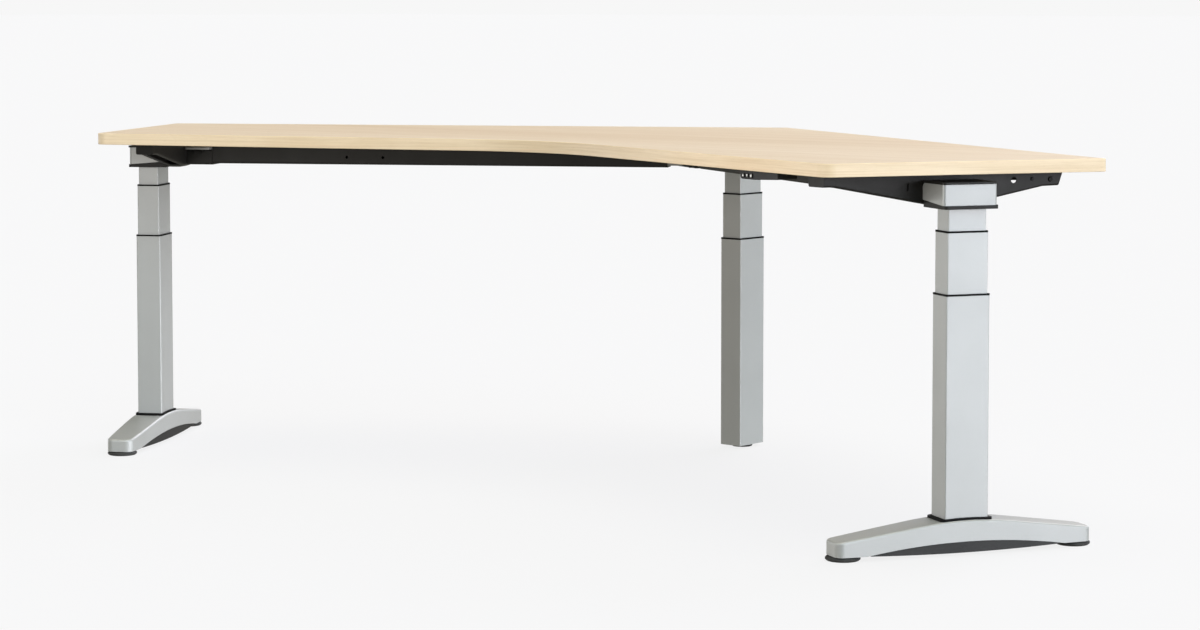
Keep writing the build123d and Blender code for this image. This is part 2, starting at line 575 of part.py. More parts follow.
with BuildPart() as corner_head_cover:
    with BuildSketch(CORNER_LEG.offset(HEAD_Z1)) as c_cover_sk:
        with Locations((0, -9.75)):
            Rectangle(72, 119.5)
        fillet(c_cover_sk.vertices().sort_by(Axis.Y)[-2:], 10)
    extrude(amount=HEAD_Z2 - HEAD_Z1)
    with BuildSketch(CORNER_LEG.offset(HEAD_Z1)) as c_cover_in_sk:
        with Locations((0, -14.0)):
            Rectangle(67, 123)
        fillet(c_cover_in_sk.vertices().sort_by(Axis.Y)[-2:], 7.5)
    extrude(amount=HEAD_Z2 - HEAD_Z1, mode=Mode.SUBTRACT)

with BuildPart() as gear_motors:
    with BuildSketch(RIGHT_LEG.offset(HEAD_Z1)):
        with Locations((3, 0)):
            RectangleRounded(44, 52, 5)
    extrude(amount=34)
    with BuildSketch(Plane(origin=plan(LEG_S - 28.7, LEG_Q + 46) + (670,), x_dir=ALONG, z_dir=(C60, S60, 0))):
        Circle(14)
    extrude(amount=92)
    with BuildSketch(RIGHT_LEG.offset(HEAD_Z1)):
        Circle(6.08)
    extrude(amount=26, mode=Mode.SUBTRACT)
    mirror(about=Plane.YZ)
    with BuildSketch(CORNER_LEG.offset(HEAD_Z1)):
        with Locations((0, 4)):
            RectangleRounded(44, 44, 5)
    extrude(amount=34)
    with BuildSketch(Plane(origin=(-32, Y0 - CORNER_T - 31, 670), x_dir=(0, 1, 0), z_dir=(1, 0, 0))):
        Circle(14)
    extrude(amount=64)
    with BuildSketch(CORNER_LEG.offset(HEAD_Z1)):
        Circle(6.08)
    extrude(amount=26, mode=Mode.SUBTRACT)

# ---------------------------------------------------------------- arms
ARM_SIDE = Plane(origin=plan(ARM_MID, 0) + (UNDER_Z,), x_dir=FRONT, z_dir=INWARD)   # local x = q, y = z below the board
ARM_TIP_OUT, ARM_TIP_IN = 544.0, 555.0   # front end, slanted like the front edge of the worktop
ARM_LINE = [(43, 0), (53, -29.4), (87, -30.3), (259, -64), (310, -64), (516, -25.3), (530, -24), (ARM_TIP_IN, -24),
            (ARM_TIP_IN, 0)]
ARM_T = 2.5
WEB_SCREWS = [(111.2, -16.0, 2.0, 3.7, 2.2), (71.9, -17.0, 2.5, 5.4, 2.6)]    # q, z, shank, head and head height


KEEL_S = LEG_S - ARM_OUT - 26            # the keel's flat underside ends here, and a bevel rises to the inner web
KEEL_Z = UNDER_Z - 64
KEEL_SIDE = Plane(origin=plan(0, LEG_Q) + (0,), x_dir=ALONG, z_dir=FRONT)           # local x = s, y = z


def keel_bevel(lift):
    """Wedge under the bevelled inner edge of the keel, in s and z; lift moves its upper face up."""
    s_in = LEG_S - ARM_OUT - ARM_W - 5
    return [(KEEL_S + 10, KEEL_Z - 4 + lift), (s_in, KEEL_Z + 0.4 * (KEEL_S - s_in) + lift), (s_in, KEEL_Z - 12),
            (KEEL_S + 10, KEEL_Z - 12)]


def slanted_tip(back):
    """Region in front of the arm's slanted front end, in s and -q; back moves it to the rear."""
    s_out, s_in = LEG_S - ARM_OUT, LEG_S - ARM_OUT - ARM_W
    k = (ARM_TIP_IN - ARM_TIP_OUT) / ARM_W
    return [(s_out + 5, -(ARM_TIP_OUT - 5 * k - back)), (s_in - 5, -(ARM_TIP_IN + 5 * k - back)), (s_in - 5, -580),
            (s_out + 5, -580)]


with BuildPart() as arm_cavity:
    with BuildSketch(ARM_SIDE) as arm_in_sk:
        with BuildLine():
            Polyline(*ARM_LINE, close=True)
        make_face()
        fillet(arm_in_sk.vertices().filter_by(lambda v: v.Y < -35), 25)
        offset(amount=-ARM_T, kind=Kind.INTERSECTION)
    extrude(amount=ARM_W / 2 - ARM_T, both=True)
    with BuildSketch(RIGHT_WING.offset(UNDER_Z - 80)):
        with BuildLine():
            Polyline(*slanted_tip(ARM_T), close=True)
        make_face()
    extrude(amount=100, mode=Mode.SUBTRACT)
    with BuildSketch(KEEL_SIDE):
        with BuildLine():
            Polyline(*keel_bevel(2.7), close=True)
        make_face()
    extrude(amount=200, both=True, mode=Mode.SUBTRACT)

with BuildPart() as right_arm:
    with BuildSketch(ARM_SIDE) as arm_sk:
        with BuildLine():
            Polyline(*ARM_LINE, close=True)
        make_face()
        fillet(arm_sk.vertices().filter_by(lambda v: v.Y < -35), 25)
        fillet(arm_sk.vertices().filter_by(lambda v: v.X < 60 and v.Y < -20), 4)
    extrude(amount=ARM_W / 2, both=True)
    with BuildSketch(RIGHT_WING.offset(UNDER_Z - 80)):
        with BuildLine():
            Polyline(*slanted_tip(0), close=True)
        make_face()
    extrude(amount=100, mode=Mode.SUBTRACT)
    keel = right_arm.edges().filter_by(
        lambda e: e.center().Z < UNDER_Z - 20 and abs(e.tangent_at(0.5).dot(Vector(*ALONG))) < 0.2
        and abs(e.tangent_at(0.5).Z) < 0.5)
    fillet(keel, 4)
    with BuildSketch(KEEL_SIDE):
        with BuildLine():
            Polyline(*keel_bevel(0), close=True)
        make_face()
    extrude(amount=200, both=True, mode=Mode.SUBTRACT)
    add(arm_cavity.part, mode=Mode.SUBTRACT)
    # windows in the upper skin between the screw bridges
    with BuildSketch(Plane(origin=plan(ARM_MID, 0) + (UNDER_Z,), x_dir=ALONG, z_dir=(0, 0, 1))):
        for q0, q1 in ((62, 150), (190, 370), (410, 522)):
            with Locations((0, -(q0 + q1) / 2)):
                RectangleRounded(32, q1 - q0, 5)
    extrude(amount=-ARM_T, mode=Mode.SUBTRACT)
    # openings in the lower skin, which leave a lip along each web
    with BuildSketch(Plane(origin=plan(ARM_MID, 0) + (UNDER_Z - 15,), x_dir=ALONG, z_dir=(0, 0, 1))):
        for q0, q1 in ((96, 236), (334, 528)):
            with Locations((-3.5, -(q0 + q1) / 2)):
                RectangleRounded(25, q1 - q0, 6)
    extrude(amount=-60, mode=Mode.SUBTRACT)
    with BuildSketch(RIGHT_WING.offset(UNDER_Z)):
        with Locations(*[(s, -q) for s, q in ARM_SCREWS]):
            Circle(2.3)
    extrude(amount=-ARM_T, mode=Mode.SUBTRACT)
    # cable hole and slots in the outer web, cable window in the inner web
    with BuildSketch(ARM_SIDE.offset(-ARM_W / 2)):
        with Locations((149.9, -17.3)):
            Circle(6)
        with Locations((371.5, -26.8)):
            SlotOverall(15, 3.4, rotation=90)
        for q, z, shank, head, rise in WEB_SCREWS:
            with Locations((q, z)):
                Circle(shank + 0.15)
    extrude(amount=ARM_T + 0.5, mode=Mode.SUBTRACT)
    with BuildSketch(ARM_SIDE.offset(ARM_W / 2)):
        with Locations((129, -24.6)):
            RectangleRounded(26, 8.6, 2)
    extrude(amount=-ARM_T - 0.5, mode=Mode.SUBTRACT)
    # bolt holes to the head and to the beam joint
    with BuildSketch(FLANGE_FACE):
        with Locations(*HEAD_BOLTS):
            Circle(3.15)
    extrude(amount=-ARM_T, mode=Mode.SUBTRACT)
    with BuildSketch(FLANGE_FACE.offset(-ARM_W)):
        with Locations((0, 664), (0, 680)):
            Circle(3.15)
    extrude(amount=ARM_T, mode=Mode.SUBTRACT)

with BuildPart() as left_arm:
    mirror(right_arm.part, about=Plane.YZ)

# ---------------------------------------------------------------- beams and their joints
JOINT_S = LEG_S - ARM_OUT - ARM_W        # arm's inner web
BEAM_S = JOINT_S - JOINT_L               # where the beam starts
ACROSS = Plane(origin=plan(0, LEG_Q) + (0,), x_dir=(C60, S60, 0), z_dir=ALONG)      # local x to the back, y = z

with BuildPart() as right_beam_joint:
    with BuildSketch(ACROSS.offset(BEAM_S)):
        with Locations((0, (653 + 689) / 2)):
            RectangleRounded(62, 36, 5)
            RectangleRounded(54, 28, 3, mode=Mode.SUBTRACT)
    extrude(amount=JOINT_L - 5)
    with BuildSketch(ACROSS.offset(JOINT_S - 5)) as jp_sk:
        with Locations((0, (653 + 689) / 2)):
            RectangleRounded(62, 36, 5)
        with Locations((0, 664), (0, 680)):
            Circle(3.15, mode=Mode.SUBTRACT)
    extrude(amount=5)
    # spigot that enters the beam
    with BuildSketch(ACROSS.offset(BEAM_S - 45)):
        with Locations((0, (660 + 689) / 2)):
            RectangleRounded(52, 29, 4)
            RectangleRounded(45, 22, 3, mode=Mode.SUBTRACT)
    extrude(amount=45)
    with BuildSketch(ACROSS.offset(BEAM_S)):
        with Locations((0, (660 + 689) / 2)):
            RectangleRounded(56, 29, 4)
            RectangleRounded(45, 22, 3, mode=Mode.SUBTRACT)
    extrude(amount=6)
    with BuildSketch(Plane(origin=plan(0, LEG_Q + 31) + (0,), x_dir=ALONG, z_dir=FRONT)):
        with Locations((JOINT_S - 16, 683.4), (JOINT_S - 35.5, 683.4)):
            Circle(2.7)
    extrude(amount=-4, mode=Mode.SUBTRACT)

with BuildPart() as left_beam_joint:
    mirror(right_beam_joint.part, about=Plane.YZ)

# plain zinc plates on top of the joints
with BuildPart() as joint_plates:
    with BuildSketch(RIGHT_WING.offset(689)):
        with Locations((JOINT_S - 31.5, -LEG_Q - 10)):
            RectangleRounded(59, 82, 3)
    extrude(amount=4.6)
    mirror(about=Plane.YZ)

BEAM_FRONT = Plane(origin=plan(0, LEG_Q + BEAM_W / 2) + (0,), x_dir=ALONG, z_dir=FRONT)     # local x = s, y = z
BEAM_HOLES = [(988, 673), (902, 673)]

with BuildPart() as right_beam:
    with BuildSketch(ACROSS.offset(BEAM_END)):
        with Locations((0, (BEAM_Z0 + BEAM_Z1) / 2)):
            RectangleRounded(BEAM_W, BEAM_Z1 - BEAM_Z0, 5)
            RectangleRounded(BEAM_W - 5, BEAM_Z1 - BEAM_Z0 - 5, 2.5, mode=Mode.SUBTRACT)
    extrude(amount=BEAM_S - BEAM_END)
    with BuildSketch(BEAM_FRONT):
        with Locations(*BEAM_HOLES):
            Circle(3.4)
    extrude(amount=-4, mode=Mode.SUBTRACT)

with BuildPart() as shorter_beam:
    add(right_beam.part)
    with BuildSketch(ACROSS.offset(BEAM_END - 5)):
        with Locations((0, (BEAM_Z0 + BEAM_Z1) / 2)):
            Rectangle(BEAM_W + 20, BEAM_Z1 - BEAM_Z0 + 20)
    extrude(amount=BEAM_END_L - BEAM_END + 5, mode=Mode.SUBTRACT)

with BuildPart() as left_beam:
    mirror(shorter_beam.part, about=Plane.YZ)

# ---------------------------------------------------------------- corner hub
HUB_Z0, HUB_Z1 = 656.0, 692.0
HUB_END, HUB_END_L = 205.0, 188.0        # ends of its right and left sockets, along the wings

with BuildPart() as corner_hub:
    with BuildSketch(RIGHT_WING.offset(HUB_Z0)):
        with Locations(((98 + HUB_END) / 2, -LEG_Q)):
            Rectangle(HUB_END - 98, 60)
    extrude(amount=HUB_Z1 - HUB_Z0)
    with BuildSketch(LEFT_WING.offset(HUB_Z0)):
        with Locations(((98 + HUB_END_L) / 2, LEG_Q)):
            Rectangle(HUB_END_L - 98, 60)
    extrude(amount=HUB_Z1 - HUB_Z0)
    with BuildSketch(Plane.XY.offset(HUB_Z0)):
        with Locations((0, Y0 - (CORNER_T + 70 + 330) / 2)):
            Rectangle(84, 330 - CORNER_T - 70)
    extrude(amount=HUB_Z1 - HUB_Z0)
    with BuildSketch(RIGHT_WING.offset(HUB_Z0 + 4)):
        with Locations(((120 + HUB_END + 20) / 2, -LEG_Q)):
            Rectangle(HUB_END + 20 - 120, 52)
    extrude(amount=60, mode=Mode.SUBTRACT)
    with BuildSketch(Plane(origin=(0, Y0, HUB_Z0 + 4), x_dir=(-S60, -C60, 0), z_dir=(0, 0, 1))):
        with Locations(((120 + HUB_END + 20) / 2, LEG_Q)):
            Rectangle(HUB_END + 20 - 120, 52)
    extrude(amount=60, mode=Mode.SUBTRACT)
    with BuildSketch(Plane.XY.offset(HUB_Z0 + 4)):
        with Locations((0, Y0 - (CORNER_T + 76 + 326) / 2)):
            Rectangle(76, 326 - CORNER_T - 76)
    extrude(amount=60, mode=Mode.SUBTRACT)
    # bosses that carry the worktop, and holes to the corner head
    with BuildSketch(Plane.XY.offset(HUB_Z0)):
        with Locations(*[(p, Y0 - t) for p, t in HUB_SCREWS]):
            Circle(11)
    extrude(amount=UNDER_Z - HUB_Z0)
    with BuildSketch(Plane.XY.offset(HUB_Z0)):
        with Locations(*[(p, Y0 - t) for p, t in HUB_SCREWS]):
            Circle(2.3)
    extrude(amount=UNDER_Z - HUB_Z0, mode=Mode.SUBTRACT)
    with BuildSketch(Plane(origin=(0, Y0 - CORNER_T - 70, 0), x_dir=(-1, 0, 0), z_dir=(0, 1, 0))):
        with Locations((-22, 672), (22, 672)):
            Circle(3.15)
    extrude(amount=-6, mode=Mode.SUBTRACT)

with BuildPart() as corner_spigots:
    with BuildSketch(ACROSS.offset(182)):
        with Locations((0, (660 + 691) / 2)):
            RectangleRounded(51, 31, 4)
            RectangleRounded(45, 25, 2, mode=Mode.SUBTRACT)
    extrude(amount=120)
    mirror(about=Plane.YZ)
    # notched underneath beside the hub
    with BuildSketch(LEFT_WING.offset(655)):
        with Locations(((HUB_END_L + 0.4 + 205) / 2, LEG_Q)):
            Rectangle(205 - HUB_END_L - 0.4, 60)
    extrude(amount=21, mode=Mode.SUBTRACT)
    with BuildSketch(RIGHT_WING.offset(655)):
        with Locations(((HUB_END + BEAM_END) / 2, -LEG_Q)):
            Rectangle(BEAM_END - HUB_END - 0.8, 60)
    extrude(amount=21, mode=Mode.SUBTRACT)

# ---------------------------------------------------------------- control box under the left wing
with BuildPart() as control_box:
    with BuildSketch(LEFT_WING.offset(UNDER_Z - BOX_H)):
        with Locations((BOX_S, BOX_Q)):
            RectangleRounded(BOX_L, BOX_W, 6)
    extrude(amount=BOX_H)
    fillet(control_box.faces().sort_by(Axis.Z)[0].edges(), 3)
    with BuildSketch(LEFT_WING.offset(UNDER_Z - 3)):
        with Locations((BOX_S, BOX_Q)):
            RectangleRounded(BOX_L + 36, BOX_W - 16, 6)
    extrude(amount=3)
    with BuildSketch(LEFT_WING.offset(UNDER_Z - 3)):
        with Locations(*BOX_SCREWS):
            Circle(2.3)
    extrude(amount=3, mode=Mode.SUBTRACT)
    # sockets for the three motors, the hand control and the mains lead, on the front side
    with BuildSketch(Plane(origin=LEFT_WING.from_local_coords(Vector(0, BOX_Q + BOX_W / 2, UNDER_Z)),
                           x_dir=(-S60, -C60, 0), z_dir=(C60, -S60, 0))):
        with Locations(*[(BOX_S + d, 20) for d in (-90, -60, -30, 5)]):
            Rectangle(16, 9)
        with Locations((BOX_S + 70, 19)):
            RectangleRounded(28, 21, 3)
    extrude(amount=-9, mode=Mode.SUBTRACT)

# ---------------------------------------------------------------- hand control under the right front edge
HAND_Z0 = UNDER_Z - HAND_H
BUTTON_G = [HAND_G0 + 13, HAND_G0 + 27.5, HAND_G0 + 42]
BUTTON_Z = UNDER_Z - 10.6
HAND_FACE = Plane(origin=EDGE_FRAME.from_local_coords(Vector(0, HAND_BACK, 0)), x_dir=(CT, -ST, 0), z_dir=(-ST, -CT, 0))   # local x along the edge, y = z, out to the front

HAND_LINE = [(HAND_G0, UNDER_Z), (HAND_G0, HAND_Z0), (HAND_G0 + 50, HAND_Z0), (HAND_G0 + HAND_L, HAND_Z0 + 4),
             (HAND_G0 + HAND_L, UNDER_Z)]
HAND_LINE_IN = [(HAND_G0 + 2.4, UNDER_Z), (HAND_G0 + 2.4, HAND_Z0 + 2.4), (HAND_G0 + 50, HAND_Z0 + 2.4),
                (HAND_G0 + HAND_L - 2.4, HAND_Z0 + 6.3), (HAND_G0 + HAND_L - 2.4, UNDER_Z)]

with BuildPart() as handset_case:
    with BuildSketch(HAND_FACE) as hand_sk:
        with BuildLine():
            Polyline(*HAND_LINE, close=True)
        make_face()
        fillet(hand_sk.vertices().filter_by(lambda v: v.Y < UNDER_Z - 10).sort_by(Axis.X)[0], 7)
        fillet(hand_sk.vertices().filter_by(lambda v: v.Y < UNDER_Z - 10).sort_by(Axis.X)[-1], 4)
    extrude(amount=-HAND_D)
    fillet(handset_case.edges().filter_by(
        lambda e: e.center().Z < UNDER_Z - 1 and abs(e.tangent_at(0.5).dot(Vector(-ST, -CT, 0))) < 0.2), 1.5)
    with BuildSketch(HAND_FACE.offset(-2.4)) as hand_in_sk:
        with BuildLine():
            Polyline(*HAND_LINE_IN, close=True)
        make_face()
        fillet(hand_in_sk.vertices().filter_by(lambda v: v.Y < UNDER_Z - 10).sort_by(Axis.X)[0], 4.6)
    extrude(amount=-HAND_D + 4.8, mode=Mode.SUBTRACT)
    with BuildSketch(EDGE_FRAME.offset(UNDER_Z - 3)):
        with Locations((HAND_G0 + HAND_L / 2, HAND_BACK + HAND_D + 4.5)):
            RectangleRounded(HAND_L - 26, 14, 3)
    extrude(amount=3)
    with BuildSketch(EDGE_FRAME.offset(UNDER_Z - 3)):
        with Locations(*HAND_SCREWS):
            Circle(2.3)
    extrude(amount=3, mode=Mode.SUBTRACT)
    with BuildSketch(HAND_FACE):
        with Locations(*[(g, BUTTON_Z) for g in BUTTON_G]):
            RectangleRounded(8.6, 8.6, 1.8)
    extrude(amount=-2.4, mode=Mode.SUBTRACT)

with BuildPart() as button_up:
    with BuildSketch(HAND_FACE.offset(-2.5)):
        with Locations((BUTTON_G[0], BUTTON_Z)):
            RectangleRounded(8.0, 8.0, 1.5)
    extrude(amount=4.6)
    fillet(button_up.faces().sort_by(Axis((0, 0, 0), (-ST, -CT, 0)))[-1].edges(), 0.8)
    with BuildSketch(HAND_FACE.offset(-4.0)):
        with Locations((BUTTON_G[0], BUTTON_Z)):
            RectangleRounded(10.4, 9.2, 1.5)
    extrude(amount=1.5)

with BuildPart() as button_down:
    with BuildSketch(HAND_FACE.offset(-2.5)):
        with Locations((BUTTON_G[1], BUTTON_Z)):
            RectangleRounded(8.0, 8.0, 1.5)
    extrude(amount=4.6)
    fillet(button_down.faces().sort_by(Axis((0, 0, 0), (-ST, -CT, 0)))[-1].edges(), 0.8)
    with BuildSketch(HAND_FACE.offset(-4.0)):
        with Locations((BUTTON_G[1], BUTTON_Z)):
            RectangleRounded(10.4, 9.2, 1.5)
    extrude(amount=1.5)

with BuildPart() as button_store:
    with BuildSketch(HAND_FACE.offset(-2.5)):
        with Locations((BUTTON_G[2], BUTTON_Z)):
            RectangleRounded(8.0, 8.0, 1.5)
    extrude(amount=4.6)
    fillet(button_store.faces().sort_by(Axis((0, 0, 0), (-ST, -CT, 0)))[-1].edges(), 0.8)
    with BuildSketch(HAND_FACE.offset(-4.0)):
        with Locations((BUTTON_G[2], BUTTON_Z)):
            RectangleRounded(10.4, 9.2, 1.5)
    extrude(amount=1.5)

# ---------------------------------------------------------------- fasteners
SHORT_SCREWS = []
for s, q in ARM_SCREWS:
    x, y = plan(s, q)
    SHORT_SCREWS += [(x, y, UNDER_Z - ARM_T), (-x, y, UNDER_Z - ARM_T)]
for s, q in BOX_SCREWS:
    x, y = plan(s, q)
    SHORT_SCREWS.append((-x, y, UNDER_Z - 3))
for g, b in HAND_SCREWS:
    v = EDGE_FRAME.from_local_coords(Vector(g, b, 0))
    SHORT_SCREWS.append((v.X, v.Y, UNDER_Z - 3))
for p, t in HUB_SCREWS:
    SHORT_SCREWS.append((p, Y0 - t, HUB_Z0))

with BuildPart() as worktop_screws:
    for x, y, z in SHORT_SCREWS:
        with BuildSketch(Plane(origin=(x, y, z), z_dir=(0, 0, 1))):
            Circle(2.0)
        extrude(amount=UNDER_Z + 16 - z)
        with BuildSketch(Plane(origin=(x, y, z), z_dir=(0, 0, 1))):
            Circle(4.2)
        extrude(amount=-2.4)

with BuildPart() as frame_bolts:
    # head to arm, from inside the arm
    with BuildSketch(FLANGE_FACE.offset(-ARM_T)):
        with Locations(*HEAD_BOLTS):
            Circle(3.0)
    extrude(amount=ARM_T + 5)
    with BuildSketch(FLANGE_FACE.offset(-ARM_T - 4)):
        with Locations(*HEAD_BOLTS):
            RegularPolygon(5.6, 6)
    extrude(amount=4)
    # arm to beam joint, from inside the arm
    with BuildSketch(FLANGE_FACE.offset(-ARM_W - 9)):
        with Locations((0, 664), (0, 680)):
            Circle(3.0)
    extrude(amount=9 + ARM_T)
    with BuildSketch(FLANGE_FACE.offset(-ARM_W + ARM_T)):
        with Locations((0, 664), (0, 680)):
            RegularPolygon(5.6, 6)
    extrude(amount=4)
    # beam joint's clamp screws, on its front
    with BuildSketch(Plane(origin=plan(0, LEG_Q + 31) + (0,), x_dir=ALONG, z_dir=FRONT)):
        with Locations((JOINT_S - 16, 683.4), (JOINT_S - 35.5, 683.4)):
            Circle(2.5)
    extrude(amount=-4)
    with BuildSketch(Plane(origin=plan(0, LEG_Q + 31) + (0,), x_dir=ALONG, z_dir=FRONT)):
        with Locations((JOINT_S - 16, 683.4), (JOINT_S - 35.5, 683.4)):
            Circle(4.5)
    extrude(amount=3)
    with BuildSketch(Plane(origin=plan(0, LEG_Q + 34) + (0,), x_dir=ALONG, z_dir=FRONT)):
        with Locations((JOINT_S - 16, 683.4), (JOINT_S - 35.5, 683.4)):
            RegularPolygon(2.6, 6)
    extrude(amount=-1.8, mode=Mode.SUBTRACT)
    # button head screws in the arm's outer web, behind the head
    for q, z, shank, head, rise in WEB_SCREWS:
        with BuildSketch(ARM_SIDE.offset(-ARM_W / 2)):
            with Locations((q, z)):
                Circle(shank)
        extrude(amount=9)
        with BuildSketch(ARM_SIDE.offset(-ARM_W / 2)):
            with Locations((q, z)):
                Circle(head)
        extrude(amount=-rise, taper=28)
    mirror(about=Plane.YZ)
    # corner head to hub
    with BuildSketch(Plane(origin=(0, Y0 - CORNER_T - 76, 0), x_dir=(-1, 0, 0), z_dir=(0, 1, 0))):
        with Locations((-22, 672), (22, 672)):
            Circle(3.0)
    extrude(amount=12)
    with BuildSketch(Plane(origin=(0, Y0 - CORNER_T - 76, 0), x_dir=(-1, 0, 0), z_dir=(0, 1, 0))):
        with Locations((-22, 672), (22, 672)):
            RegularPolygon(5.6, 6)
    extrude(amount=-4)

# ---------------------------------------------------------------- labels and files
worktop_board.part.label = "worktop_board"
worktop_edge_band.part.label = "worktop_edge_band"
right_outer_tube.part.label = "right_outer_tube"
left_outer_tube.part.label = "left_outer_tube"
corner_outer_tube.part.label = "corner_outer_tube"
outer_tube_collars.part.label = "outer_tube_collars"
right_foot.part.label = "right_foot"
left_foot.part.label = "left_foot"
foot_gaskets.part.label = "foot_gaskets"
right_foot_cover.part.label = "right_foot_cover"
left_foot_cover.part.label = "left_foot_cover"
base_plates.part.label = "base_plates"
base_bolts.part.label = "base_bolts"
corner_base_plug.part.label = "corner_base_plug"
nut_tubes.part.label = "nut_tubes"
right_front_glide.part.label = "right_front_glide"
right_rear_glide.part.label = "right_rear_glide"
left_front_glide.part.label = "left_front_glide"
left_rear_glide.part.label = "left_rear_glide"
corner_glide.part.label = "corner_glide"
right_middle_tube.part.label = "right_middle_tube"
left_middle_tube.part.label = "left_middle_tube"
corner_middle_tube.part.label = "corner_middle_tube"
right_middle_collar.part.label = "right_middle_collar"
left_middle_collar.part.label = "left_middle_collar"
corner_middle_collar.part.label = "corner_middle_collar"
right_hollow_spindle.part.label = "right_hollow_spindle"
left_hollow_spindle.part.label = "left_hollow_spindle"
corner_hollow_spindle.part.label = "corner_hollow_spindle"
right_inner_tube.part.label = "right_inner_tube"
left_inner_tube.part.label = "left_inner_tube"
corner_inner_tube.part.label = "corner_inner_tube"
right_spindle.part.label = "right_spindle"
left_spindle.part.label = "left_spindle"
corner_spindle.part.label = "corner_spindle"
head_base_plates.part.label = "head_base_plates"
head_top_plates.part.label = "head_top_plates"
right_head_cover.part.label = "right_head_cover"
left_head_cover.part.label = "left_head_cover"
corner_head_cover.part.label = "corner_head_cover"
gear_motors.part.label = "gear_motors"
right_arm.part.label = "right_arm"
left_arm.part.label = "left_arm"
right_beam_joint.part.label = "right_beam_joint"
left_beam_joint.part.label = "left_beam_joint"
joint_plates.part.label = "joint_plates"
right_beam.part.label = "right_beam"
left_beam.part.label = "left_beam"
corner_hub.part.label = "corner_hub"
corner_spigots.part.label = "corner_spigots"
control_box.part.label = "control_box"
handset_case.part.label = "handset_case"
button_up.part.label = "button_up"
button_down.part.label = "button_down"
button_store.part.label = "button_store"
worktop_screws.part.label = "worktop_screws"
frame_bolts.part.label = "frame_bolts"

for piece in (worktop_board, worktop_edge_band, right_outer_tube, left_outer_tube, corner_outer_tube,
              outer_tube_collars, right_foot, left_foot, foot_gaskets, right_foot_cover, left_foot_cover,
              base_plates, base_bolts, corner_base_plug, nut_tubes, right_front_glide, right_rear_glide,
              left_front_glide, left_rear_glide, corner_glide, right_middle_tube, left_middle_tube,
              corner_middle_tube, right_middle_collar, left_middle_collar, corner_middle_collar,
              right_hollow_spindle, left_hollow_spindle, corner_hollow_spindle, right_inner_tube,
              left_inner_tube, corner_inner_tube, right_spindle, left_spindle, corner_spindle,
              head_base_plates, head_top_plates, right_head_cover, left_head_cover, corner_head_cover,
              gear_motors, right_arm, left_arm, right_beam_joint, left_beam_joint, joint_plates, right_beam, left_beam,
              corner_hub, corner_spigots, control_box, handset_case, button_up, button_down, button_store,
              worktop_screws, frame_bolts):
    export_step(piece.part, "parts/" + piece.part.label + ".step")
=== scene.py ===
"""Looks of the height adjustable corner desk: finishes, small details, studio and camera.

Metres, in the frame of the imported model: floor at Z = 0, back corner of the worktop at +Y, wings to +X and -X.
"""

import math

